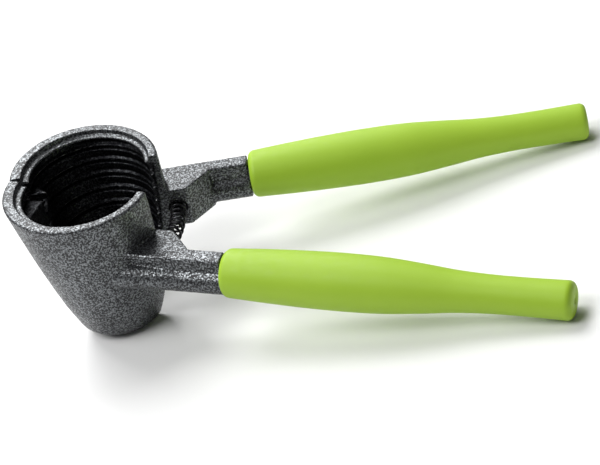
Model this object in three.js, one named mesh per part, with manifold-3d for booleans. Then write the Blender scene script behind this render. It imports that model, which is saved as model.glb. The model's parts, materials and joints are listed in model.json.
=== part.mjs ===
// A cone nutcracker: two cast half cups on a shared hinge pin, each with its own arm and soft grip,
// held open by a coil spring between the arms. Squeezing the grips closes the cup on the nut.
//
// Each jaw is drawn in its own flat frame: the hinge axis is Z through the origin, the rim of the cup
// lies in the plane z = 0, +X runs towards the grips and the jaw fills the side y > PARTING.
import * as THREE from "three";
import { mergeVertices } from "three/addons/utils/BufferGeometryUtils.js";
import Module from "manifold-3d";

const wasm = await Module();
wasm.setup();

// ---- Driving dimensions, in millimetres and degrees ----

const OPEN_ANGLE = 11.4; // how far each jaw stands from the middle when the spring has opened it
const PARTING = 2.1; // distance from the hinge axis to each jaw's parting face
const GAP = 0.35; // clearance between neighbouring pieces

// Cup
const RIM_LEFT = -9.3; // the hinge-side edge of the rim
const CUP_DEPTH = 59.2;
const EDGE_ROUND = 0.8; // rounded outer edge of the rim
const BASE_ROUND = 2.2; // rounded edge of the cup's base
const EDGE_STEPS = 3; // facets of a rounded edge
const FLOOR_DEPTH = 55; // inner floor of the cup
const ROUND_STEPS = 48; // sides of a full turn of the cup

// Where the cup's wall stands at a depth: distances of its two sides from the rim's hinge-side edge.
const OUTER_WALL = [
  { depth: 0, near: 0, far: 56.7 },
  { depth: 10, near: 2.7, far: 57.0 },
  { depth: 20, near: 5.4, far: 57.0 },
  { depth: 35, near: 9.8, far: 56.4 },
  { depth: 47, near: 13.6, far: 54.6 },
  { depth: 54, near: 16.1, far: 52.0 },
  { depth: CUP_DEPTH, near: 18.0, far: 49.8 },
];
const CREST_WALL = [
  { depth: 0, near: 6.2, far: 53.2 },
  { depth: 8, near: 7.0, far: 52.6 },
  { depth: 20, near: 9.3, far: 52.0 },
  { depth: 32, near: 13.6, far: 50.7 },
  { depth: 44, near: 18.2, far: 48.0 },
  { depth: FLOOR_DEPTH, near: 23.0, far: 43.0 },
];
const MOUTH = { near: 4.6, far: 53.2, depth: 2 }; // shallow recess inside the rim
const LEDGE = { near: 7.2, far: 51.5, thickness: 1 }; // ledge that the recess ends on
const RIB_FIRST = 6.3; // depth of the top edge of the first cracking rib
const RIB_PITCH = 6;
const RIB_HEIGHT = 2.6;
const RIB_COUNT = 8;
const RIB_DEPTH = 1.3; // how far the grooves lie behind the ribs
const RIB_SLOPE = 0.5; // height of the slanted flank of a rib

// Hinge
const PIN_RADIUS = 1.5;
const PIN_INSET = 0.3; // how far the pin's ends lie inside the outer knuckles
const KNUCKLE_RADIUS = 3.3;
const KNUCKLE_TOP = -11.2;
const KNUCKLE_HEIGHT = 3.5;
const KNUCKLE_GAP = 0.4;
const BOSS_TOP = -8.3; // top of the thick part of the wall that carries the knuckles
const BOSS_BOTTOM = -42;
const FRONT_BOSS = { x: 2.9, y: 15.1 }; // corner of that thick part inside each cup half
const BACK_BOSS = { x: -2.5, y: 10.6 };

// Arm, an I section: a flat flange above, a thin web and a round bar below
const ARM_TOP = -17.2;
const ARM_HEIGHT = 16.6;
const ARM_START = { x: 38, y: 15.3 }; // inside the wall of the cup
const GRIP_START = { x: 79.2, y: 14.7 };
const GRIP_TIP = { x: 209.1, y: 12.7 };
const FLANGE_WIDTH = 6.6;
const FLANGE_HEIGHT = 2.6;
const FLANGE_EDGE = 0.7; // bevel along the flange's edges
const WEB_WIDTH = 3.4;
const BAR_RADIUS = 5;
const BAR_Z = ARM_TOP - ARM_HEIGHT + BAR_RADIUS;
const BAR_BEND = { x: 58, y: 15 }; // from here the bar leans outwards
const BAR_ROOT = { x: 30.5, y: 18.4, z: BAR_Z + 1.6 }; // and ends as a ridge on the cup's wall
const BLOCK_CORNER = 54.9; // end of the straight face of the spring block
const BLOCK_END = 64; // where the block's slanted face meets the arm

// Tang inside the grip, and the grip itself
const GRIP_Z = -24.6;
const TANG = { length: 104, width: 6, height: 10, root: 0.6 };
const GRIP_SIDES = 28;
const GRIP_STATIONS = 13;
const GRIP_ROUND = 2; // rounded edge where the grip starts
const TIP_ROUND = 2.4; // rounded edge of its flat end
const GRIP_PROFILE = [
  { along: 0, radius: 9.1 },
  { along: 0.1, radius: 9.75 },
  { along: 0.22, radius: 10.3 },
  { along: 0.36, radius: 10.5 },
  { along: 0.47, radius: 10.1 },
  { along: 0.58, radius: 8.9 },
  { along: 0.68, radius: 7.6 },
  { along: 0.78, radius: 6.95 },
  { along: 0.88, radius: 6.85 },
  { along: 1, radius: 7.05 },
];

// Spring, coiled along an arc about the hinge axis
const SPRING_ARC_RADIUS = 50.6;
const SPRING_RADIUS = 2.65; // to the middle of the wire
const WIRE_RADIUS = 0.48;
const SPRING_TURNS = 15;
const TURN_STEPS = 12;
const SEAT_ANGLE = 12.3; // the pocket's bottom, from the jaw's own X axis
const SEAT_ROOM = 1.2; // from the wire to the pocket's bottom
const POCKET_RADIUS = 3.6;
const SPRING_Z = ARM_TOP - ARM_HEIGHT / 2;

const REACH = 400; // larger than the whole object
const OVERRUN = 1; // how far a cut runs past the face it opens through
const radians = THREE.MathUtils.degToRad;

// ---- Solids ----

// A three.js geometry as a solid that can be joined and cut.
function solid(geometry) {
  const plain = geometry.clone();
  plain.deleteAttribute("normal");
  plain.deleteAttribute("uv");
  const merged = mergeVertices(plain, 1e-4);
  return new wasm.Manifold(
    new wasm.Mesh({
      numProp: 3,
      vertProperties: merged.attributes.position.array,
      triVerts: new Uint32Array(merged.index.array),
    }),
  );
}

function geometryOf(body) {
  const mesh = body.getMesh();
  const geometry = new THREE.BufferGeometry();
  geometry.setAttribute("position", new THREE.BufferAttribute(mesh.vertProperties, 3));
  geometry.setIndex(new THREE.BufferAttribute(mesh.triVerts, 1));
  geometry.computeVertexNormals();
  return geometry;
}

function box(low, high) {
  const size = new THREE.Vector3().subVectors(high, low);
  const middle = new THREE.Vector3().addVectors(low, high).multiplyScalar(0.5);
  return solid(new THREE.BoxGeometry(size.x, size.y, size.z).translate(middle.x, middle.y, middle.z));
}

// A round bar with its axis along Z.
function roundBar(radius, bottom, top, x = 0, y = 0, sides = 32) {
  const bar = new THREE.CylinderGeometry(radius, radius, top - bottom, sides);
  bar.rotateX(Math.PI / 2);
  return solid(bar.translate(x, y, (top + bottom) / 2));
}

// An outline in the XY plane, raised from bottom to top.
function plate(outline, bottom, top) {
  const shape = new THREE.Shape(outline.map(([x, y]) => new THREE.Vector2(x, y)));
  const raised = new THREE.ExtrudeGeometry(shape, { depth: top - bottom, bevelEnabled: false });
  return solid(raised.translate(0, 0, bottom));
}

// A round bar between two points.
function barBetween(radius, from, to, sides = 32) {
  const start = new THREE.Vector3(from.x, from.y, from.z);
  const along = new THREE.Vector3(to.x, to.y, to.z).sub(start);
  const bar = new THREE.CylinderGeometry(radius, radius, along.length(), sides);
  const turn = new THREE.Quaternion().setFromUnitVectors(
    new THREE.Vector3(0, 1, 0),
    along.clone().normalize(),
  );
  bar.applyQuaternion(turn);
  const middle = start.addScaledVector(along, 0.5);
  return solid(bar.translate(middle.x, middle.y, middle.z));
}

// The steps of a quarter-round edge: how far along the edge's axis, and how far inside the corner.
function quarterRound(radius) {
  const steps = [];
  for (let i = 0; i <= EDGE_STEPS; i++) {
    const angle = (i / EDGE_STEPS) * (Math.PI / 2);
    steps.push({ along: radius * (1 - Math.cos(angle)), inward: radius * (1 - Math.sin(angle)) });
  }
  return steps;
}

// A section in the YZ plane, drawn from the arm's axis outwards, carried from one point to another.
function beam(section, from, to) {
  const length = Math.hypot(to.x - from.x, to.y - from.y);
  const raised = new THREE.ExtrudeGeometry(section, { depth: length, bevelEnabled: false });
  // the section's x becomes +Y, its y becomes +Z and its depth becomes +X
  const turn = new THREE.Matrix4().makeBasis(
    new THREE.Vector3(0, 1, 0),
    new THREE.Vector3(0, 0, 1),
    new THREE.Vector3(1, 0, 0),
  );
  raised.applyMatrix4(turn);
  raised.rotateZ(Math.atan2(to.y - from.y, to.x - from.x));
  return solid(raised.translate(from.x, from.y, 0));
}

// Keeps the part of a body on the jaw's own side of the parting face.
function keepSide(body) {
  const other = box(
    new THREE.Vector3(-REACH, -REACH, -REACH),
    new THREE.Vector3(REACH, PARTING, REACH),
  );
  return body.subtract(other);
}

// ---- Cup ----

function wallAt(wall, depth) {
  const next = Math.max(1, wall.findIndex((row) => row.depth >= depth));
  const a = wall[next - 1];
  const b = wall[next];
  const t = (depth - a.depth) / (b.depth - a.depth);
  return {
    near: THREE.MathUtils.lerp(a.near, b.near, t),
    far: THREE.MathUtils.lerp(a.far, b.far, t),
  };
}

// A stack of round sections, each given by its depth and the places of its near and far sides. The
// sections aren't concentric, so a lathe is turned first and its levels are then slid along X.
function leaningStack(levels) {
  const radiusOf = (level) => (level.far - level.near) / 2;
  const middleOf = (level) => RIM_LEFT + (level.far + level.near) / 2;
  const profile = levels.map((level) => new THREE.Vector2(radiusOf(level), -level.depth));
  profile.unshift(new THREE.Vector2(0, profile[0].y));
  profile.push(new THREE.Vector2(0, profile.at(-1).y));
  profile.reverse();
  const turned = new THREE.LatheGeometry(profile, ROUND_STEPS);
  turned.rotateX(Math.PI / 2);
  const middles = levels.map(middleOf).reverse();
  middles.unshift(middles[0]);
  middles.push(middles.at(-1));
  const position = turned.attributes.position;
  for (let i = 0; i < position.count; i++) {
    position.setX(i, position.getX(i) + middles[i % profile.length]);
    position.setY(i, position.getY(i) + PARTING);
  }
  return solid(turned);
}

// One level of a wall, drawn in by an amount all round.
function levelAt(wall, depth, inward = 0) {
  const row = wallAt(wall, depth);
  return { depth, near: row.near + inward, far: row.far - inward };
}

function cupOutside() {
  const rim = quarterRound(EDGE_ROUND).map((step) => levelAt(OUTER_WALL, step.along, step.inward));
  const base = quarterRound(BASE_ROUND).map((step) =>
    levelAt(OUTER_WALL, CUP_DEPTH - step.along, step.inward),
  );
  return leaningStack([...rim, ...OUTER_WALL.slice(1, -1), ...base.reverse()]);
}

function cupHollow() {
  const crest = (depth) => levelAt(CREST_WALL, depth);
  const groove = (depth) => levelAt(CREST_WALL, depth, -RIB_DEPTH);
  const ledgeBottom = MOUTH.depth + LEDGE.thickness;
  const levels = [
    { depth: -OVERRUN, near: MOUTH.near, far: MOUTH.far },
    { depth: MOUTH.depth, near: MOUTH.near, far: MOUTH.far },
    { depth: MOUTH.depth, near: LEDGE.near, far: LEDGE.far },
    { depth: ledgeBottom, near: LEDGE.near, far: LEDGE.far },
    groove(ledgeBottom),
  ];
  for (let i = 0; i < RIB_COUNT; i++) {
    const top = RIB_FIRST + i * RIB_PITCH;
    levels.push(groove(top - RIB_SLOPE), crest(top));
    levels.push(crest(top + RIB_HEIGHT), groove(top + RIB_HEIGHT + RIB_SLOPE));
  }
  levels.push(groove(FLOOR_DEPTH - RIB_DEPTH), crest(FLOOR_DEPTH));
  return leaningStack(levels);
}

// The thick part of the wall at the hinge side. Its inner face is flat.
function hingeBoss(outside, corner) {
  const outline = [
    [RIM_LEFT, PARTING],
    [KNUCKLE_RADIUS, PARTING],
    [corner.x, corner.y],
    [RIM_LEFT, corner.y],
  ];
  return plate(outline, BOSS_BOTTOM, BOSS_TOP).intersect(outside);
}

// ---- Hinge ----

function knuckleLevel(index) {
  const top = KNUCKLE_TOP - index * (KNUCKLE_HEIGHT + KNUCKLE_GAP);
  return { top, bottom: top - KNUCKLE_HEIGHT };
}

function knuckle(index) {
  const { top, bottom } = knuckleLevel(index);
  const neck = box(
    new THREE.Vector3(-KNUCKLE_RADIUS, 0, bottom),
    new THREE.Vector3(KNUCKLE_RADIUS, PARTING + OVERRUN, top),
  );
  return roundBar(KNUCKLE_RADIUS, bottom, top).add(neck);
}

// The space that the other jaw's knuckle needs while this jaw turns from open to closed.
function knuckleRoom(index) {
  const { top, bottom } = knuckleLevel(index);
  return roundBar(KNUCKLE_RADIUS + GAP, bottom - KNUCKLE_GAP, top + KNUCKLE_GAP);
}

function pinBore() {
  const top = knuckleLevel(0).top + OVERRUN;
  const bottom = knuckleLevel(2).bottom - OVERRUN;
  return roundBar(PIN_RADIUS + GAP, bottom, top);
}

function hingePin() {
  return roundBar(PIN_RADIUS, knuckleLevel(2).bottom + PIN_INSET, knuckleLevel(0).top - PIN_INSET);
}

// ---- Arm ----

// The section is the same on both sides of the web, so one side's points serve for both.
function armSection() {
  const side = FLANGE_WIDTH / 2;
  const under = ARM_TOP - FLANGE_HEIGHT;
  const half = [
    [WEB_WIDTH / 2, under],
    [side, under + FLANGE_EDGE],
    [side, ARM_TOP - FLANGE_EDGE],
    [side - FLANGE_EDGE, ARM_TOP],
  ];
  const joinHeight = Math.sqrt(BAR_RADIUS ** 2 - (WEB_WIDTH / 2) ** 2);
  const joinAngle = Math.atan2(joinHeight, WEB_WIDTH / 2);
  const shape = new THREE.Shape();
  shape.moveTo(...half[0]);
  half.slice(1).forEach(([y, z]) => shape.lineTo(y, z));
  half.reverse().forEach(([y, z]) => shape.lineTo(-y, z));
  shape.lineTo(-WEB_WIDTH / 2, BAR_Z + joinHeight);
  shape.absarc(0, BAR_Z, BAR_RADIUS, Math.PI - joinAngle, 2 * Math.PI + joinAngle, false);
  return shape;
}

function arm() {
  const end = { x: GRIP_START.x - GAP, y: GRIP_START.y };
  const ridge = barBetween(BAR_RADIUS, { ...BAR_BEND, z: BAR_Z }, BAR_ROOT);
  return beam(armSection(), ARM_START, end).add(ridge);
}

// The block beside the cup that the spring sits in. It is as tall as the arm.
function springBlock() {
  const armEdge = GRIP_START.y - FLANGE_WIDTH / 2;
  const outline = [
    [ARM_START.x, PARTING],
    [BLOCK_CORNER, PARTING],
    [BLOCK_END, armEdge],
    [BLOCK_END, GRIP_START.y],
    [ARM_START.x, ARM_START.y],
  ];
  return plate(outline, ARM_TOP - ARM_HEIGHT, ARM_TOP);
}

// A point on the spring's arc about the hinge axis, at the height of the spring.
function onArc(angle, reach, height, target) {
  return target.set(reach * Math.cos(angle), reach * Math.sin(angle), height);
}

class SeatArc extends THREE.Curve {
  getPoint(t, target = new THREE.Vector3()) {
    const angle = radians(THREE.MathUtils.lerp(-SEAT_ANGLE, SEAT_ANGLE, t));
    return onArc(angle, SPRING_ARC_RADIUS, SPRING_Z, target);
  }
}

// The round pocket that the spring's end sits in.
function springPocket() {
  const circle = new THREE.Shape().absarc(0, 0, POCKET_RADIUS, 0, 2 * Math.PI, false);
  const options = { steps: 10, curveSegments: 16, bevelEnabled: false, extrudePath: new SeatArc() };
  return solid(new THREE.ExtrudeGeometry(circle, options));
}

// ---- Grip and tang ----

const gripLine = new THREE.Vector2(GRIP_TIP.x - GRIP_START.x, GRIP_TIP.y - GRIP_START.y);
const gripLength = gripLine.length();
const gripDirection = gripLine.clone().normalize();

// A point on the grip's middle line, at a distance from where the grip starts.
function alongGrip(distance) {
  return {
    x: GRIP_START.x + gripDirection.x * distance,
    y: GRIP_START.y + gripDirection.y * distance,
  };
}

// A flat bar inside the grip, larger all round by the extra amount.
function tang(from, to, extra) {
  const w = TANG.width / 2 + extra;
  const h = TANG.height / 2 + extra;
  const outline = [
    [w, -h],
    [w, h],
    [-w, h],
    [-w, -h],
  ];
  const section = new THREE.Shape(outline.map(([y, z]) => new THREE.Vector2(y, z + GRIP_Z)));
  return beam(section, alongGrip(from), alongGrip(to));
}

function gripProfile() {
  const knots = GRIP_PROFILE.map((row) => new THREE.Vector2(row.along, row.radius));
  const curve = new THREE.SplineCurve(knots);
  const straight = gripLength - GRIP_ROUND - TIP_ROUND;
  const first = knots[0].y;
  const last = knots.at(-1).y;
  const profile = [new THREE.Vector2(0, 0)];
  quarterRound(GRIP_ROUND).forEach((step) => {
    profile.push(new THREE.Vector2(first - step.inward, step.along));
  });
  for (let i = 1; i < GRIP_STATIONS; i++) {
    const point = curve.getPoint(i / GRIP_STATIONS);
    profile.push(new THREE.Vector2(point.y, GRIP_ROUND + point.x * straight));
  }
  const tip = quarterRound(TIP_ROUND).reverse();
  tip.forEach((step) => {
    profile.push(new THREE.Vector2(last - step.inward, gripLength - step.along));
  });
  profile.push(new THREE.Vector2(0, gripLength));
  return profile;
}

function grip() {
  const turned = new THREE.LatheGeometry(gripProfile(), GRIP_SIDES);
  turned.rotateZ(gripDirection.angle() - Math.PI / 2);
  turned.translate(GRIP_START.x, GRIP_START.y, GRIP_Z);
  return solid(turned).subtract(tang(-OVERRUN, TANG.length + GAP, GAP));
}

// ---- Jaws ----

function jaw({ bossCorner, knuckles, rooms }) {
  const outside = cupOutside();
  const hollow = cupHollow();
  const limbs = arm().add(springBlock());
  const whole = outside.add(limbs).subtract(hollow);
  let body = keepSide(whole.add(hingeBoss(outside, bossCorner)));
  knuckles.forEach((index) => {
    body = body.add(knuckle(index));
  });
  rooms.forEach((index) => {
    body = body.subtract(knuckleRoom(index));
  });
  return body
    .subtract(pinBore())
    .subtract(springPocket())
    .add(tang(-TANG.root, TANG.length, 0));
}

// ---- Spring ----

class CoilOnArc extends THREE.Curve {
  getPoint(t, target = new THREE.Vector3()) {
    const seat = radians(OPEN_ANGLE + SEAT_ANGLE) - (WIRE_RADIUS + SEAT_ROOM) / SPRING_ARC_RADIUS;
    const turn = 2 * Math.PI * SPRING_TURNS * t;
    const reach = SPRING_ARC_RADIUS + SPRING_RADIUS * Math.cos(turn);
    const height = SPRING_Z + SPRING_RADIUS * Math.sin(turn);
    return onArc(THREE.MathUtils.lerp(-seat, seat, t), reach, height, target);
  }
}

function spring() {
  const wire = new THREE.Shape().absarc(0, 0, WIRE_RADIUS, 0, 2 * Math.PI, false);
  const steps = SPRING_TURNS * TURN_STEPS;
  const options = { steps, curveSegments: 3, bevelEnabled: false, extrudePath: new CoilOnArc() };
  return solid(new THREE.ExtrudeGeometry(wire, options));
}

// ---- Assembly ----

const CASTING = { color: 0x6f7376, roughness: 0.42, metalness: 0.75 };
const RUBBER = { color: 0xa8d13c, roughness: 0.6, metalness: 0 };
const SPRING_STEEL = { color: 0x1c1c1e, roughness: 0.4, metalness: 0.8 };
const PIN_STEEL = { color: 0xb4b6b8, roughness: 0.3, metalness: 1 };

function piece(name, body, finish) {
  const mesh = new THREE.Mesh(geometryOf(body), new THREE.MeshStandardMaterial(finish));
  mesh.name = name;
  return mesh;
}

// A jaw's solid, mirrored to the other side of the middle plane.
function mirrored(body) {
  const geometry = geometryOf(body).scale(1, -1, 1);
  const index = geometry.index;
  for (let i = 0; i < index.count; i += 3) {
    const second = index.getX(i + 1);
    index.setX(i + 1, index.getX(i + 2));
    index.setX(i + 2, second);
  }
  return solid(geometry);
}

const frontJaw = jaw({ bossCorner: FRONT_BOSS, knuckles: [1], rooms: [0, 2] });
const backJaw = jaw({ bossCorner: BACK_BOSS, knuckles: [0, 2], rooms: [1] });

const back = new THREE.Group();
back.add(piece("back_jaw", backJaw, CASTING));
back.add(piece("back_grip", grip(), RUBBER));
back.rotation.z = radians(OPEN_ANGLE);

const front = new THREE.Group();
front.add(piece("front_jaw", mirrored(frontJaw), CASTING));
front.add(piece("front_grip", mirrored(grip()), RUBBER));
front.rotation.z = -radians(OPEN_ANGLE);

const nutcracker = new THREE.Group();
nutcracker.add(front, back);
nutcracker.add(piece("hinge_pin", hingePin(), PIN_STEEL));
nutcracker.add(piece("return_spring", spring(), SPRING_STEEL));

// The lowest point of some pieces, with the whole object tilted about Y.
function lowest(group, names, tilt) {
  group.rotation.y = tilt;
  group.updateMatrixWorld(true);
  let least = Infinity;
  const point = new THREE.Vector3();
  names.forEach((name) => {
    const mesh = group.getObjectByName(name);
    const position = mesh.geometry.attributes.position;
    for (let i = 0; i < position.count; i++) {
      point.fromBufferAttribute(position, i).applyMatrix4(mesh.matrixWorld);
      least = Math.min(least, point.z);
    }
  });
  return least;
}

// The object rests on the base of the cup and the two grip ends, so it tilts until both touch.
function restTilt(group) {
  let low = 0;
  let high = radians(20);
  for (let i = 0; i < 40; i++) {
    const middle = (low + high) / 2;
    const cupLower =
      lowest(group, ["front_jaw"], middle) < lowest(group, ["front_grip"], middle);
    if (cupLower) low = middle;
    else high = middle;
  }
  return (low + high) / 2;
}

const tilt = restTilt(nutcracker);
nutcracker.position.z = -lowest(nutcracker, ["front_jaw", "front_grip"], tilt);

const standing = new THREE.Group();
standing.add(nutcracker);
standing.updateMatrixWorld(true);
const extent = new THREE.Box3().setFromObject(standing, true);
nutcracker.position.x -= (extent.min.x + extent.max.x) / 2;

export default standing;
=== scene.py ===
import json
import math

import bpy
import numpy as np
from mathutils import Matrix, Vector, noise


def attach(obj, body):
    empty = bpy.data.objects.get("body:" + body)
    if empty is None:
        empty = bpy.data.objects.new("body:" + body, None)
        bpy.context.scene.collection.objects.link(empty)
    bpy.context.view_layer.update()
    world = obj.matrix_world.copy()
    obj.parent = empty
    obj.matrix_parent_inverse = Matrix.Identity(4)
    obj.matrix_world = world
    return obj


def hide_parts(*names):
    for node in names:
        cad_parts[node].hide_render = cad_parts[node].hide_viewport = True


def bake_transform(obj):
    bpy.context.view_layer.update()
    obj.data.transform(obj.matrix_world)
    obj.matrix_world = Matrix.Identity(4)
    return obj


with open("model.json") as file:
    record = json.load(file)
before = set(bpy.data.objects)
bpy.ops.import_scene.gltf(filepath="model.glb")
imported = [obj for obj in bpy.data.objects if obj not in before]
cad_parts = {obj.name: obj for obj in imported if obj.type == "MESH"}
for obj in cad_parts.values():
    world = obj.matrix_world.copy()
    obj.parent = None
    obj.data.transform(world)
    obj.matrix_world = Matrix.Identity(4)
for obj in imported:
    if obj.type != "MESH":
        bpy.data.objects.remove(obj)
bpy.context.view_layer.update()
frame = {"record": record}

# A cone nutcracker, open on a white table. Each jaw is drawn in millimetres in its own flat
# frame, as the CAD part is: the hinge axis is Z, the rim lies in the plane z = 0, +X runs to the
# grips and the jaw fills the side y > PARTING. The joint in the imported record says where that
# frame stands.

MM = 0.001

# ---- Sizes, in millimetres and degrees ----
OPEN_ANGLE = 11.4
HINGE_POINT = -17.0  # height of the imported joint's point in the jaw's frame
PARTING = 2.1
GAP = 0.35
OVERRUN = 1.0  # how far a cut or a joined piece runs past the face that it crosses

# Cup
RIM_LEFT = -9.3
CUP_DEPTH = 59.2
BASE_ROUND = 2.4
RIM_ROUND = 0.9
FLOOR_DEPTH = 55.0
FLOOR_EDGE = {"depth": 1.0, "width": 0.5}
SIDES = 160
WALL_STEP = 2
# A wall of the cup by depth: where its near and far sides stand, from the rim's hinge-side edge.
OUTER_WALL = ((0, 0, 56.7), (10, 2.7, 57.0), (20, 5.4, 57.0), (35, 9.8, 56.4), (47, 13.6, 54.6),
              (54, 16.1, 52.0), (CUP_DEPTH, 18.0, 49.8))
CREST_WALL = ((0, 6.2, 53.2), (8, 7.0, 52.6), (20, 9.3, 52.0), (32, 13.6, 50.7), (44, 18.2, 48.0),
              (FLOOR_DEPTH, 23.0, 43.0))
MOUTH = {"near": 4.6, "far": 53.2, "depth": 2.0}
LEDGE = {"near": 7.2, "far": 51.5, "thickness": 1.0}
RIB_FIRST = 6.0
RIB_PITCH = 6.0
RIB_COUNT = 8
# One cracking rib: how far down from its start, and how far behind its crest.
RIB_SHAPE = ((0.0, 1.15), (0.35, 0.0), (1.1, 0.0), (1.25, 1.7), (2.15, 1.7), (2.4, 0.0),
             (3.2, 0.05))

# Hinge
PIN_RADIUS = 1.5
PIN_INSET = 0.3
PIN_EDGE = 0.35
PIN_DOME = ((0.8, 0.14), (0.4, 0.2))  # radius and rise of the riveted end
PIN_EDGE_STEPS = 5
KNUCKLE_RADIUS = 3.3
KNUCKLE_TOP = -11.2
KNUCKLE_HEIGHT = 3.5
KNUCKLE_GAP = 0.4
BOSS_TOP = -8.3
BOSS_BOTTOM = -42.0
FRONT_BOSS = (2.9, 15.1)
BACK_BOSS = (-2.5, 10.6)

# Arm
ARM_TOP = -17.2
ARM_HEIGHT = 16.6
ARM_START = (38.0, 15.3)
GRIP_START = (79.2, 14.7)
GRIP_TIP = (209.1, 12.7)
FLANGE_WIDTH = 6.6
FLANGE_HEIGHT = 2.6
FLANGE_EDGE = 0.7
WEB_WIDTH = 3.4
BAR_RADIUS = 5.0
BAR_Z = ARM_TOP - ARM_HEIGHT + BAR_RADIUS
BAR_BEND = (66.0, 14.9, BAR_Z)
BAR_ROOT = (30.5, 18.4, BAR_Z + 1.6)
RIDGE_RADII = (BAR_RADIUS - 0.7, BAR_RADIUS + 0.4)
BLOCK_CORNER = 54.9
BLOCK_END = 64.0

# Grip
GRIP_Z = -24.6
TANG_LENGTH = 104.0
TANG_WIDTH = 6.0
TANG_HEIGHT = 10.0
TANG_ROOT = 0.45
GRIP_ROUND = 2.6
TIP_ROUND = 2.4
# The moulding mark in the grip's flat end.
NIB = ((0, 3.0), (0, 1.1), (0.35, 1.0), (0.35, 0.62), (0.05, 0.55), (0, 0.35))  # depth and radius
# The grip's radius by how far along it, as a share of its length.
GRIP_PROFILE = ((0, 9.1), (0.1, 9.75), (0.22, 10.3), (0.36, 10.5), (0.47, 10.1), (0.58, 8.9),
                (0.68, 7.6), (0.78, 6.95), (0.88, 6.85), (1, 7.05))

# Spring
SPRING_ARC = 50.6
SPRING_RADIUS = 2.65
WIRE_RADIUS = 0.48
SPRING_TURNS = 15
CLOSE_TURNS = 1.5  # turns at each end that are wound closer
CLOSE_PITCH = 1.45
SEAT_ANGLE = 12.3
SEAT_DEEPER = 1.5  # the pocket's extra depth, in degrees, for the spring when it is squeezed
SEAT_ROOM = 1.2
POCKET_RADIUS = 3.6
SPRING_Z = ARM_TOP - ARM_HEIGHT / 2

# Fineness of the surfaces
VOXEL = 0.36
CAST_SMOOTHING = 5
WAVE_SCALE = 0.8
WAVE_HEIGHT = 0.06
EDGE_STEPS = 6
BAR_SIDES = 48
RIDGE_SIDES = 64
ARC_STEPS = 40
POCKET_STEPS = 12
POCKET_LEAD = 2  # steps of the pocket's cut before the parting
GRIP_SIDES = 96
GRIP_STATIONS = 90
GRIP_EDGE_STEPS = 10
TURN_STEPS = 36
WIRE_SIDES = 12
FAR = 400.0  # larger than the whole object

# Marks on the cast surface, for the enamel: edges paled as wear and painted highlight, and the
# hollow darkened as painted shade
BULGE_UNIT = VOXEL * 0.2
BULGE_SPREAD = 3
BULGE_END = 2.0  # the last stretch of the arm, where the tang joins, gets no pale edges, neither wear nor painted highlight
WALL_SAMPLES = 60
INSIDE_MARGIN = 2.2  # how far behind the ribs' crests the wall still counts as the hollow, which gets painted shade
INSIDE_FADE = 0.6
INSIDE_TOP = 2.6  # depth at which the hollow's painted shade starts
INSIDE_TOP_FADE = 1.5

# ---- Camera ----
VIEW_AIM = Vector((-2.69, 0.0, 18.04)) * MM
VIEW_DISTANCE = 863.2 * MM
VIEW_AZIMUTH = math.radians(21.19)
VIEW_ELEVATION = math.radians(33.51)
VIEW_ROLL = math.radians(-22.65)
LENS = 138.8
SENSOR = 36.0

# ---- Light: place in metres, power in watts, width in metres ----
LIGHTS = (("key", (-0.42, 0.55, 1.25), 18, 0.8), ("back", (-0.50, 1.30, 0.80), 10, 0.8),
          ("front", (-0.60, -0.50, 1.20), 15, 0.8))
AMBIENT = 0.10
FLOOR_SIZE = 6.0

# ---- Grain: scales in features per metre, depths in metres ----
SPECK_SCALE = 1500
DIMPLE_SCALE = 700
DIMPLE_SHARE = 0.6
PATCH_SCALE = 160
PATCH_SHIFT = 0.12
SILVER_RANGE = (0.42, 0.66)
# painted shade: how far the cup's hollow is darkened towards black
HOLLOW_SHADE_SHARE = 0.84
# Pale edges: partly wear through the enamel, partly painted highlight on the arrises.
WEAR_GLINT_SCALE = 500
WEAR_GLINT_SPREAD = 0.6
WEAR_GLINT_RANGE = (0.75, 1.4)
WEAR_GLINT_SHARE = 0.85
ENAMEL_DEPTH = 0.00018
ENAMEL_METALLIC = (0.2, 0.9)
ENAMEL_ROUGHNESS = (0.48, 0.32)
TONE_SCALE = 60
HANDLED_SCALE = 220
HANDLED_RANGE = (0.55, 0.75)
HANDLED_SHARE = 0.18
RUBBER_GRAIN = 3800
RUBBER_DEPTH = 0.00006
SHEEN_SCALE = 400
RUBBER_ROUGHNESS = (0.46, 0.58)
RUBBED_SCALE = 900
RUBBED_RANGE = (0.52, 0.72)
WIRE_GRAIN = 6000
WIRE_ROUGHNESS = (0.42, 0.3)
DULL_SCALE = 700
DULL_RANGE = (0.45, 0.7)
PIN_GRAIN = 5000
PIN_ROUGHNESS = (0.25, 0.42)
STEEL_DEPTH = 0.00003
TABLE_SCALE = 8

# ---- Colours ----
PIT_BLACK = (0.005, 0.005, 0.007)
COAT_SILVER = (0.215, 0.228, 0.238)
# painted shade for the cup's hollow
HOLLOW_PAINTED_SHADE = (0.004, 0.004, 0.005)
# pale metal of the edges: worn enamel and painted highlight
WORN_METAL_GLINT = (0.66, 0.67, 0.68)
LIME_DARK = (0.30, 0.48, 0.030)
LIME_LIGHT = (0.34, 0.525, 0.038)
LIME_HANDLED = (0.29, 0.45, 0.03)
WIRE_OXIDE = (0.012, 0.012, 0.014)
WIRE_RUBBED = (0.09, 0.09, 0.10)
STEEL_BRIGHT = (0.62, 0.62, 0.63)
STEEL_DULL = (0.40, 0.40, 0.41)
TABLE_WHITES = ((0.80, 0.80, 0.80), (0.82, 0.82, 0.82))


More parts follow.
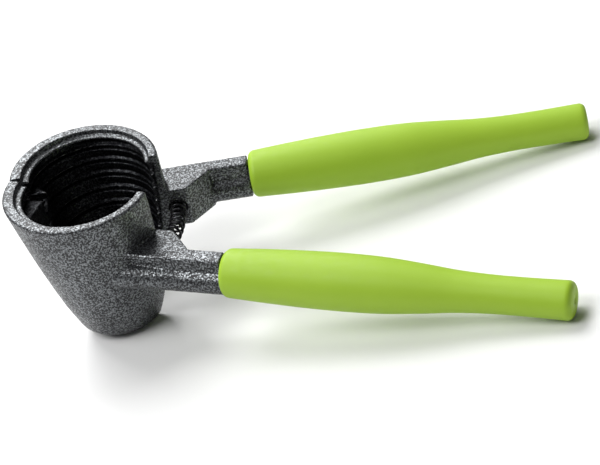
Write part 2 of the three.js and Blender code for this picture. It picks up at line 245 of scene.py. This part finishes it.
def add_camera():
    back = Vector((math.sin(VIEW_AZIMUTH) * math.cos(VIEW_ELEVATION),
                   -math.cos(VIEW_AZIMUTH) * math.cos(VIEW_ELEVATION),
                   math.sin(VIEW_ELEVATION)))
    level = Vector((0, 0, 1)).cross(back).normalized()
    upright = back.cross(level)
    right = level * math.cos(VIEW_ROLL) + upright * math.sin(VIEW_ROLL)
    up = back.cross(right)
    data = bpy.data.cameras.new("camera")
    data.lens = LENS
    data.sensor_width = SENSOR
    camera = bpy.data.objects.new("camera", data)
    bpy.context.scene.collection.objects.link(camera)
    turn = Matrix((right, up, back)).transposed().to_4x4()
    camera.matrix_world = Matrix.Translation(VIEW_AIM + back * VIEW_DISTANCE) @ turn
    bpy.context.scene.camera = camera


# ---- Where the jaws stand ----
def nutcracker_frame():
    joint = frame["record"]["behaviour"]["joints"][0]
    up = -Vector(joint["axis"]).normalized()
    across = Vector((0, 1, 0))
    ahead = across.cross(up)
    origin = Vector(joint["pos_m"]) - up * HINGE_POINT * MM
    turn = Matrix((ahead, across, up)).transposed().to_4x4()
    return Matrix.Translation(origin) @ turn @ Matrix.Scale(MM, 4)


def jaw_frame(side):
    """The frame of the back jaw, side 1, or of the front jaw, side -1, its mirror image."""
    turn = Matrix.Rotation(side * math.radians(OPEN_ANGLE), 4, "Z")
    return nutcracker_frame() @ turn @ Matrix.Scale(side, 4, (0, 1, 0))


def place(obj, matrix):
    obj.data.transform(matrix)
    if matrix.determinant() < 0:
        obj.data.flip_normals()
    return obj


# ---- Solids ----
def stack(name, rings):
    """A closed solid whose skin runs through a row of rings of equally many points."""
    sides = len(rings[0])
    points = [point for ring in rings for point in ring]
    faces = []
    for r in range(len(rings) - 1):
        for i in range(sides):
            j = (i + 1) % sides
            faces.append((r * sides + i, r * sides + j, (r + 1) * sides + j, (r + 1) * sides + i))
    faces.append(tuple(reversed(range(sides))))
    faces.append(tuple(range((len(rings) - 1) * sides, len(rings) * sides)))
    mesh = bpy.data.meshes.new(name)
    mesh.from_pydata(points, [], faces)
    if volume(mesh) < 0:
        mesh.flip_normals()
    obj = bpy.data.objects.new(name, mesh)
    bpy.context.scene.collection.objects.link(obj)
    return obj


def volume(mesh):
    mesh.calc_loop_triangles()
    total = 0.0
    for triangle in mesh.loop_triangles:
        a, b, c = (mesh.vertices[i].co for i in triangle.vertices)
        total += a.dot(b.cross(c))
    return total / 6


def settle(obj):
    """Replaces an object's mesh by what its modifiers make of it."""
    seen = obj.evaluated_get(bpy.context.evaluated_depsgraph_get())
    made = bpy.data.meshes.new_from_object(seen)
    obj.modifiers.clear()
    old = obj.data
    obj.data = made
    bpy.data.meshes.remove(old)
    return obj


def combine(obj, operation, *others):
    for other in others:
        cut = obj.modifiers.new("combine", "BOOLEAN")
        cut.operation = operation
        cut.solver = "MANIFOLD"
        cut.object = other
        settle(obj)
        bpy.data.objects.remove(other)
    return obj


def circle(radius, sides, middle=(0.0, 0.0)):
    turns = [2 * math.pi * i / sides for i in range(sides)]
    return [(middle[0] + radius * math.cos(a), middle[1] + radius * math.sin(a)) for a in turns]


def plate(name, outline, bottom, top):
    return stack(name, [[(x, y, bottom) for x, y in outline], [(x, y, top) for x, y in outline]])


def upright_bar(name, radius, bottom, top):
    return plate(name, circle(radius, BAR_SIDES), bottom, top)


def box(name, low, high):
    outline = ((low[0], low[1]), (high[0], low[1]), (high[0], high[1]), (low[0], high[1]))
    return plate(name, outline, low[2], high[2])


def beam(name, section, start, end):
    """A section of (sideways, height) points, carried level from one point to another."""
    along = Vector((end[0] - start[0], end[1] - start[1])).normalized()
    rings = []
    for x, y in (start, end):
        rings.append([(x - along.y * s, y + along.x * s, z) for s, z in section])
    return stack(name, rings)


def pipe(name, path, radii, sides):
    """A round bar along a path; its section starts from the side that faces up."""
    rings = []
    for i, point in enumerate(path):
        ahead = (path[min(i + 1, len(path) - 1)] - path[max(i - 1, 0)]).normalized()
        aside = ahead.cross(Vector((0, 0, 1))).normalized()
        upward = aside.cross(ahead)
        ring = circle(radii[i], sides)
        rings.append([point + aside * a + upward * b for a, b in ring])
    return stack(name, rings)


def curve_through(rows, at):
    """A smooth curve through rows of (place, value, ...), as an array of values at a place."""
    rows = np.array(rows, dtype=float)
    places, values = rows[:, 0], rows[:, 1:]
    slopes = np.gradient(values, places, axis=0)
    k = int(np.clip(np.searchsorted(places, at) - 1, 0, len(places) - 2))
    span = places[k + 1] - places[k]
    t = np.clip((at - places[k]) / span, 0, 1)
    return ((2 * t**3 - 3 * t**2 + 1) * values[k] + (t**3 - 2 * t**2 + t) * span * slopes[k]
            + (3 * t**2 - 2 * t**3) * values[k + 1] + (t**3 - t**2) * span * slopes[k + 1])


def quarter_round(radius, steps=EDGE_STEPS):
    """Steps of a rounded edge: how far along the axis, and how far inside the corner."""
    angles = [i / steps * math.pi / 2 for i in range(steps + 1)]
    return [(radius * (1 - math.cos(a)), radius * (1 - math.sin(a))) for a in angles]


# ---- Cup ----
def cup_ring(depth, near, far):
    middle = RIM_LEFT + (near + far) / 2
    ring = circle((far - near) / 2, SIDES, (middle, PARTING))
    return [(x, y, -depth) for x, y in ring]


def wall_ring(wall, depth, inward=0.0):
    near, far = curve_through(wall, depth)
    return cup_ring(depth, near + inward, far - inward)


def cup_outside():
    rings = [wall_ring(OUTER_WALL, along, inward) for along, inward in quarter_round(RIM_ROUND)]
    depths = range(WALL_STEP, int(CUP_DEPTH - BASE_ROUND), WALL_STEP)
    rings += [wall_ring(OUTER_WALL, depth) for depth in depths]
    for along, inward in reversed(quarter_round(BASE_ROUND)):
        rings.append(wall_ring(OUTER_WALL, CUP_DEPTH - along, inward))
    return stack("outside", rings)


def cup_hollow():
    ledge_bottom = MOUTH["depth"] + LEDGE["thickness"]
    rings = [cup_ring(-OVERRUN, MOUTH["near"], MOUTH["far"])]
    rings.append(cup_ring(MOUTH["depth"], MOUTH["near"], MOUTH["far"]))
    rings.append(cup_ring(MOUTH["depth"], LEDGE["near"], LEDGE["far"]))
    rings.append(cup_ring(ledge_bottom, LEDGE["near"], LEDGE["far"]))
    rings.append(wall_ring(CREST_WALL, ledge_bottom, -RIB_SHAPE[0][1]))
    for i in range(RIB_COUNT):
        for down, behind in RIB_SHAPE:
            rings.append(wall_ring(CREST_WALL, RIB_FIRST + i * RIB_PITCH + down, -behind))
    rings.append(wall_ring(CREST_WALL, FLOOR_DEPTH - FLOOR_EDGE["depth"], -RIB_SHAPE[0][1]))
    rings.append(wall_ring(CREST_WALL, FLOOR_DEPTH, FLOOR_EDGE["width"]))
    return stack("hollow", rings)


def hinge_boss(corner):
    outline = ((RIM_LEFT, PARTING), (KNUCKLE_RADIUS, PARTING), corner, (RIM_LEFT, corner[1]))
    return combine(plate("boss", outline, BOSS_BOTTOM, BOSS_TOP), "INTERSECT", cup_outside())


# ---- Hinge ----
def knuckle_level(index):
    top = KNUCKLE_TOP - index * (KNUCKLE_HEIGHT + KNUCKLE_GAP)
    return top, top - KNUCKLE_HEIGHT


def knuckle(index):
    top, bottom = knuckle_level(index)
    neck = box("neck", (-KNUCKLE_RADIUS, 0, bottom), (KNUCKLE_RADIUS, PARTING + OVERRUN, top))
    return combine(upright_bar("knuckle", KNUCKLE_RADIUS, bottom, top), "UNION", neck)


def knuckle_room(index):
    top, bottom = knuckle_level(index)
    return upright_bar("room", KNUCKLE_RADIUS + GAP, bottom - KNUCKLE_GAP, top + KNUCKLE_GAP)


def pin_bore():
    bottom = knuckle_level(2)[1] - OVERRUN
    return upright_bar("bore", PIN_RADIUS + GAP, bottom, knuckle_level(0)[0] + OVERRUN)


def hinge_pin():
    """A riveted pin: rounded at both ends, with a low dome on the upper one."""
    bottom = knuckle_level(2)[1] + PIN_INSET
    top = knuckle_level(0)[0] - PIN_INSET
    steps = quarter_round(PIN_EDGE, PIN_EDGE_STEPS)
    edge = [(along, PIN_RADIUS - inward) for along, inward in steps]
    levels = [(bottom + along, radius) for along, radius in edge]
    levels += [(top - along, radius) for along, radius in reversed(edge)]
    levels += [(top + rise, radius) for radius, rise in PIN_DOME]
    rings = [[(x, y, z) for x, y in circle(radius, BAR_SIDES)] for z, radius in levels]
    return stack("steel_hinge_pin", rings)


# ---- Arm ----
def arm_section():
    side = FLANGE_WIDTH / 2
    web = WEB_WIDTH / 2
    under = ARM_TOP - FLANGE_HEIGHT
    join = math.acos(web / BAR_RADIUS)
    section = [(web, under), (side, under + FLANGE_EDGE), (side, ARM_TOP - FLANGE_EDGE),
               (side - FLANGE_EDGE, ARM_TOP)]
    section += [(-s, z) for s, z in reversed(section)]
    for i in range(ARC_STEPS + 1):
        angle = math.pi - join + (math.pi + 2 * join) * i / ARC_STEPS
        section.append((BAR_RADIUS * math.cos(angle), BAR_Z + BAR_RADIUS * math.sin(angle)))
    return section


def spring_block():
    arm_edge = GRIP_START[1] - FLANGE_WIDTH / 2
    outline = ((ARM_START[0], PARTING), (BLOCK_CORNER, PARTING), (BLOCK_END, arm_edge),
               (BLOCK_END, GRIP_START[1]), ARM_START)
    return plate("block", outline, ARM_TOP - ARM_HEIGHT, ARM_TOP)


def on_arc(angle, reach=SPRING_ARC, height=SPRING_Z):
    """A point on the spring's arc about the hinge."""
    return Vector((reach * math.cos(angle), reach * math.sin(angle), height))


def spring_pocket():
    end = math.radians(SEAT_ANGLE + SEAT_DEEPER)
    path = [on_arc(end * i / POCKET_STEPS) for i in range(-POCKET_LEAD, POCKET_STEPS + 1)]
    return pipe("pocket", path, [POCKET_RADIUS] * len(path), BAR_SIDES)


def along_grip(distance):
    along = Vector((GRIP_TIP[0] - GRIP_START[0], GRIP_TIP[1] - GRIP_START[1])).normalized()
    return GRIP_START[0] + along.x * distance, GRIP_START[1] + along.y * distance


def tang(start, end, extra=0.0):
    w = TANG_WIDTH / 2 + extra
    h = TANG_HEIGHT / 2 + extra
    section = ((w, GRIP_Z - h), (w, GRIP_Z + h), (-w, GRIP_Z + h), (-w, GRIP_Z - h))
    return beam("tang", section, along_grip(start), along_grip(end))


# ---- Jaws ----
def cast_jaw(name, corner, knuckles, rooms):
    body = cup_outside()
    arm = beam("arm", arm_section(), ARM_START, (GRIP_START[0] - GAP, GRIP_START[1]))
    ridge = pipe("ridge", [Vector(BAR_BEND), Vector(BAR_ROOT)], RIDGE_RADII, RIDGE_SIDES)
    combine(body, "UNION", arm, ridge, spring_block())
    combine(body, "DIFFERENCE", cup_hollow())
    combine(body, "UNION", hinge_boss(corner))
    combine(body, "DIFFERENCE", box("other_side", (-FAR, -FAR, -FAR), (FAR, PARTING, FAR)))
    combine(body, "UNION", *[knuckle(index) for index in knuckles])
    combine(body, "DIFFERENCE", *[knuckle_room(index) for index in rooms])
    combine(body, "DIFFERENCE", pin_bore(), spring_pocket())
    remesh = body.modifiers.new("cast_skin", "REMESH")
    remesh.mode = "VOXEL"
    remesh.voxel_size = VOXEL
    soften = body.modifiers.new("cast_edges", "SMOOTH")
    soften.factor = 0.5
    soften.iterations = CAST_SMOOTHING
    settle(body)
    roughen(body)
    combine(body, "UNION", tang(-TANG_ROOT, TANG_LENGTH))
    body.name = name
    mark_relief(body)
    return body


def roughen(obj):
    """The slight waviness of a cast surface under thick enamel."""
    points, normals = mesh_arrays(obj.data)
    waves = np.array([noise.noise(Vector(point) * WAVE_SCALE) for point in points])
    points += normals * waves[:, None] * WAVE_HEIGHT
    obj.data.vertices.foreach_set("co", points.ravel())
    obj.data.update()


def mesh_arrays(mesh):
    """The places and the normals of a mesh's vertices, as two arrays."""
    points = np.empty(len(mesh.vertices) * 3)
    normals = np.empty(len(mesh.vertices) * 3)
    mesh.vertices.foreach_get("co", points)
    mesh.vertex_normals.foreach_get("vector", normals)
    return points.reshape(-1, 3), normals.reshape(-1, 3)


def mark_relief(obj):
    """Stores on each vertex how much the surface bulges there, and whether it lines the cup; the
    second mask carries the hollow's painted shade.
    """
    mesh = obj.data
    count = len(mesh.vertices)
    place_of, normal_of = mesh_arrays(mesh)
    ends = np.empty(len(mesh.edges) * 2, dtype=np.int32)
    mesh.edges.foreach_get("vertices", ends)
    a, b = ends.reshape(-1, 2).T
    neighbours = np.maximum(np.bincount(a, minlength=count) + np.bincount(b, minlength=count), 1)

    def mean_around(values):
        total = np.bincount(a, values[b], count) + np.bincount(b, values[a], count)
        return total / neighbours

    around = np.stack([mean_around(place_of[:, k]) for k in range(3)], axis=1)
    bulge = np.einsum("ij,ij->i", place_of - around, normal_of)
    for _ in range(BULGE_SPREAD):
        bulge = 0.5 * bulge + 0.5 * mean_around(bulge)
    bulge[place_of[:, 0] > GRIP_START[0] - BULGE_END] = 0
    # The inside mask marks the cup's hollow, which the enamel darkens as painted shade.
    depth = -place_of[:, 2]
    depths = np.linspace(0, FLOOR_DEPTH, WALL_SAMPLES)
    walls = np.array([curve_through(CREST_WALL, d) for d in depths])
    near = np.interp(depth, depths, walls[:, 0])
    far = np.interp(depth, depths, walls[:, 1])
    reach = np.hypot(place_of[:, 0] - RIM_LEFT - (near + far) / 2, place_of[:, 1] - PARTING)
    within = np.clip(((far - near) / 2 + INSIDE_MARGIN - reach) / INSIDE_FADE, 0, 1)
    below = np.clip((depth - INSIDE_TOP) / INSIDE_TOP_FADE, 0, 1)
    for label, values in (("bulge", bulge / BULGE_UNIT), ("inside", within * below)):
        layer = mesh.attributes.new(label, "FLOAT", "POINT")
        layer.data.foreach_set("value", values.astype(np.float32))


# ---- Grips ----
def grip(name):
    """A soft sleeve: it bulges under the palm, narrows and ends flat with a small moulding nib."""
    length = math.hypot(GRIP_TIP[0] - GRIP_START[0], GRIP_TIP[1] - GRIP_START[1])
    straight = length - GRIP_ROUND - TIP_ROUND
    collar = quarter_round(GRIP_ROUND, GRIP_EDGE_STEPS)
    profile = [(along, GRIP_PROFILE[0][1] - inward) for along, inward in collar]
    for i in range(1, GRIP_STATIONS):
        radius = curve_through(GRIP_PROFILE, i / GRIP_STATIONS)[0]
        profile.append((GRIP_ROUND + straight * i / GRIP_STATIONS, radius))
    for along, inward in reversed(quarter_round(TIP_ROUND, GRIP_EDGE_STEPS)):
        profile.append((length - along, GRIP_PROFILE[-1][1] - inward))
    profile += [(length - deep, radius) for deep, radius in NIB]
    angle = math.atan2(GRIP_TIP[1] - GRIP_START[1], GRIP_TIP[0] - GRIP_START[0])
    turn = Matrix.Translation((*GRIP_START, GRIP_Z)) @ Matrix.Rotation(angle, 4, "Z")
    rings = []
    for along, radius in profile:
        rings.append([turn @ Vector((along, y, z)) for y, z in circle(radius, GRIP_SIDES)])
    sleeve = stack(name, rings)
    combine(sleeve, "DIFFERENCE", tang(-OVERRUN, TANG_LENGTH + GAP, GAP))
    return sleeve


# ---- Spring ----
def coil_spring():
    """A coil on an arc about the hinge, wound closer at both ends."""
    seat = math.radians(OPEN_ANGLE + SEAT_ANGLE) - (WIRE_RADIUS + SEAT_ROOM) / SPRING_ARC
    length = 2 * seat * SPRING_ARC
    turns = np.array([0, CLOSE_TURNS, SPRING_TURNS - CLOSE_TURNS, SPRING_TURNS])
    wound = CLOSE_TURNS * CLOSE_PITCH
    travelled = np.array([0, wound, length - wound, length])
    steps = SPRING_TURNS * TURN_STEPS
    middle = []
    outward = []
    for i in range(steps + 1):
        turn = SPRING_TURNS * i / steps
        angle = np.interp(turn, turns, travelled) / SPRING_ARC - seat
        spin = 2 * math.pi * turn
        middle.append(on_arc(angle, SPRING_ARC + SPRING_RADIUS * math.cos(spin),
                             SPRING_Z + SPRING_RADIUS * math.sin(spin)))
        outward.append(middle[-1] - on_arc(angle))
    rings = []
    for i, point in enumerate(middle):
        ahead = (middle[min(i + 1, steps)] - middle[max(i - 1, 0)]).normalized()
        across = ahead.cross(outward[i]).normalized()
        out = across.cross(ahead)
        rings.append([point + out * a + across * b for a, b in circle(WIRE_RADIUS, WIRE_SIDES)])
    return stack("coil_spring", rings)


# ---- Materials ----
class Nodes:
    """Short calls for building one material's node tree."""

    def __init__(self, name):
        self.material = bpy.data.materials.new(name)
        self.material.use_nodes = True
        self.tree = self.material.node_tree
        self.shader = self.tree.nodes["Principled BSDF"]
        self.place = self.add("ShaderNodeTexCoord").outputs["Object"]

    def add(self, kind, **settings):
        node = self.tree.nodes.new(kind)
        for key, value in settings.items():
            setattr(node, key, value)
        return node

    def feed(self, socket, value):
        if isinstance(value, bpy.types.NodeSocket):
            self.tree.links.new(value, socket)
        else:
            socket.default_value = value

    def noise(self, scale, detail=2.0, roughness=0.5, distortion=0.0):
        node = self.add("ShaderNodeTexNoise")
        self.feed(node.inputs["Vector"], self.place)
        for key, value in (("Scale", scale), ("Detail", detail), ("Roughness", roughness),
                           ("Distortion", distortion)):
            node.inputs[key].default_value = value
        return node.outputs["Fac"]

    def cells(self, scale):
        node = self.add("ShaderNodeTexVoronoi", feature="SMOOTH_F1")
        self.feed(node.inputs["Vector"], self.place)
        node.inputs["Scale"].default_value = scale
        node.inputs["Smoothness"].default_value = 0.6
        return node.outputs["Distance"]

    def attribute(self, name):
        return self.add("ShaderNodeAttribute", attribute_name=name).outputs["Fac"]

    def ramp(self, value, low, high, to_low=0.0, to_high=1.0):
        node = self.add("ShaderNodeMapRange", interpolation_type="SMOOTHSTEP")
        self.feed(node.inputs["Value"], value)
        for key, number in (("From Min", low), ("From Max", high), ("To Min", to_low),
                            ("To Max", to_high)):
            node.inputs[key].default_value = number
        return node.outputs["Result"]

    def math(self, operation, first, second):
        node = self.add("ShaderNodeMath", operation=operation)
        self.feed(node.inputs[0], first)
        self.feed(node.inputs[1], second)
        return node.outputs[0]

    def mix(self, share, first, second):
        node = self.add("ShaderNodeMix", data_type="RGBA")
        self.feed(node.inputs["Factor"], share)
        for socket, colour in ((node.inputs["A"], first), (node.inputs["B"], second)):
            plain = isinstance(colour, tuple)
            self.feed(socket, (*colour, 1.0) if plain else colour)
        return node.outputs["Result"]

    def bump(self, height, distance, strength=1.0):
        node = self.add("ShaderNodeBump")
        self.feed(node.inputs["Height"], height)
        node.inputs["Distance"].default_value = distance
        node.inputs["Strength"].default_value = strength
        self.feed(self.shader.inputs["Normal"], node.outputs["Normal"])

    def set(self, **values):
        for key, value in values.items():
            self.feed(self.shader.inputs[key.replace("_", " ")], value)
        return self.material


def hammertone():
    """Silver and black hammered enamel: small black pits in a silver coat; its edges are paled,
    partly as wear and partly as painted highlight, and its hollow is darkened as painted shade.
    """
    n = Nodes("hammertone_enamel")
    specks = n.noise(SPECK_SCALE, detail=1.5, distortion=0.3)
    broad = n.noise(PATCH_SCALE)
    # mask of the cup's hollow, for its painted shade
    inside = n.attribute("inside")
    # Convex edges turn pale: partly wear, partly painted highlight on the arrises.
    patchy = n.math("MULTIPLY", n.noise(WEAR_GLINT_SCALE), WEAR_GLINT_SPREAD)
    wear_and_glint = n.ramp(n.math("ADD", n.attribute("bulge"), patchy), *WEAR_GLINT_RANGE)
    shift = n.math("MULTIPLY", n.math("SUBTRACT", broad, 0.5), PATCH_SHIFT)
    silver = n.ramp(n.math("ADD", specks, shift), *SILVER_RANGE)
    coat = n.mix(silver, PIT_BLACK, COAT_SILVER)
    # Painted shade: the cup's hollow is darkened towards black.
    hollow_shaded_coat = n.mix(n.math("MULTIPLY", inside, HOLLOW_SHADE_SHARE), coat, HOLLOW_PAINTED_SHADE)
    colour = n.mix(n.math("MULTIPLY", wear_and_glint, WEAR_GLINT_SHARE), hollow_shaded_coat, WORN_METAL_GLINT)
    dimples = n.math("MULTIPLY", n.cells(DIMPLE_SCALE), DIMPLE_SHARE)
    n.bump(n.math("ADD", specks, dimples), ENAMEL_DEPTH, strength=0.7)
    # Painted shade: the hollow is made fully metallic, so its near-black colour also dims its
    # reflections.
    metallic = n.math("MAXIMUM", n.ramp(silver, 0, 1, *ENAMEL_METALLIC), inside)
    roughness = n.ramp(silver, 0, 1, *ENAMEL_ROUGHNESS)
    return n.set(Base_Color=colour, Metallic=metallic, Roughness=roughness)


def soft_rubber():
    """Lime soft-touch rubber: satin, very fine grain, slightly uneven colour."""
    n = Nodes("soft_rubber")
    broad = n.noise(TONE_SCALE, detail=3.0)
    handled = n.ramp(n.noise(HANDLED_SCALE, detail=4.0, roughness=0.6), *HANDLED_RANGE)
    colour = n.mix(broad, LIME_DARK, LIME_LIGHT)
    colour = n.mix(n.math("MULTIPLY", handled, HANDLED_SHARE), colour, LIME_HANDLED)
    n.bump(n.noise(RUBBER_GRAIN), RUBBER_DEPTH, strength=0.35)
    roughness = n.ramp(n.noise(SHEEN_SCALE, detail=3.0), 0.3, 0.7, *RUBBER_ROUGHNESS)
    return n.set(Base_Color=colour, Roughness=roughness, Specular_IOR_Level=0.3)


def black_wire():
    """Blackened spring wire: dark oxide with a fine grain and paler rubbed spots."""
    n = Nodes("blackened_spring_wire")
    rubbed = n.ramp(n.noise(RUBBED_SCALE, detail=3.0), *RUBBED_RANGE)
    colour = n.mix(rubbed, WIRE_OXIDE, WIRE_RUBBED)
    n.bump(n.noise(WIRE_GRAIN), STEEL_DEPTH, strength=0.4)
    roughness = n.ramp(rubbed, 0, 1, *WIRE_ROUGHNESS)
    return n.set(Base_Color=colour, Metallic=0.8, Roughness=roughness)


def turned_steel():
    """Plain steel of the hinge pin, with a fine grain and a few dull patches."""
    n = Nodes("turned_steel")
    dull = n.ramp(n.noise(DULL_SCALE, detail=4.0), *DULL_RANGE)
    colour = n.mix(dull, STEEL_BRIGHT, STEEL_DULL)
    n.bump(n.noise(PIN_GRAIN), STEEL_DEPTH, strength=0.5)
    roughness = n.ramp(dull, 0, 1, *PIN_ROUGHNESS)
    return n.set(Base_Color=colour, Metallic=1.0, Roughness=roughness)


def tabletop():
    """Matt white, with a faint slow change of tone."""
    n = Nodes("tabletop")
    colour = n.mix(n.noise(TABLE_SCALE), *TABLE_WHITES)
    return n.set(Base_Color=colour, Roughness=0.85)


# ---- Stage ----
def add_floor():
    bpy.ops.mesh.primitive_plane_add(size=FLOOR_SIZE, location=(0, 0, 0))
    floor = bpy.context.object
    floor.name = "floor"
    floor.data.materials.append(tabletop())


def add_light(name, spot, power, size):
    data = bpy.data.lights.new(name, "AREA")
    data.energy = power
    data.size = size
    light = bpy.data.objects.new(name, data)
    bpy.context.scene.collection.objects.link(light)
    light.location = spot
    light.rotation_euler = (VIEW_AIM - Vector(spot)).to_track_quat("-Z", "Y").to_euler()


def add_world(strength):
    world = bpy.data.worlds.new("studio")
    bpy.context.scene.world = world
    world.use_nodes = True
    sky = world.node_tree.nodes["Background"]
    sky.inputs["Color"].default_value = (1, 1, 1, 1)
    sky.inputs["Strength"].default_value = strength


# ---- Assembly ----
def finish_piece(obj, material, body, node):
    obj.data.materials.clear()
    obj.data.materials.append(material)
    obj.data.shade_smooth()
    if body:
        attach(obj, body)
    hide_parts(node)


add_camera()
enamel = hammertone()
rubber = soft_rubber()

front_jaw = place(cast_jaw("cast_front_jaw", FRONT_BOSS, (1,), (0, 2)), jaw_frame(-1))
back_jaw = place(cast_jaw("cast_back_jaw", BACK_BOSS, (0, 2), (1,)), jaw_frame(1))
finish_piece(front_jaw, enamel, "front_half", "front_jaw")
finish_piece(back_jaw, enamel, "back_half", "back_jaw")

front_grip = place(grip("soft_front_grip"), jaw_frame(-1))
finish_piece(front_grip, rubber, "front_half", "front_grip")
back_grip = place(grip("soft_back_grip"), jaw_frame(1))
finish_piece(back_grip, rubber, "back_half", "back_grip")

pin = place(hinge_pin(), nutcracker_frame())
finish_piece(pin, turned_steel(), "front_half", "hinge_pin")

spring = place(coil_spring(), nutcracker_frame())
finish_piece(spring, black_wire(), None, "return_spring")
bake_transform(spring)

add_floor()
for name, spot, power, size in LIGHTS:
    add_light(name, spot, power, size)
add_world(AMBIENT)
bpy.context.scene.view_settings.view_transform = "Standard"
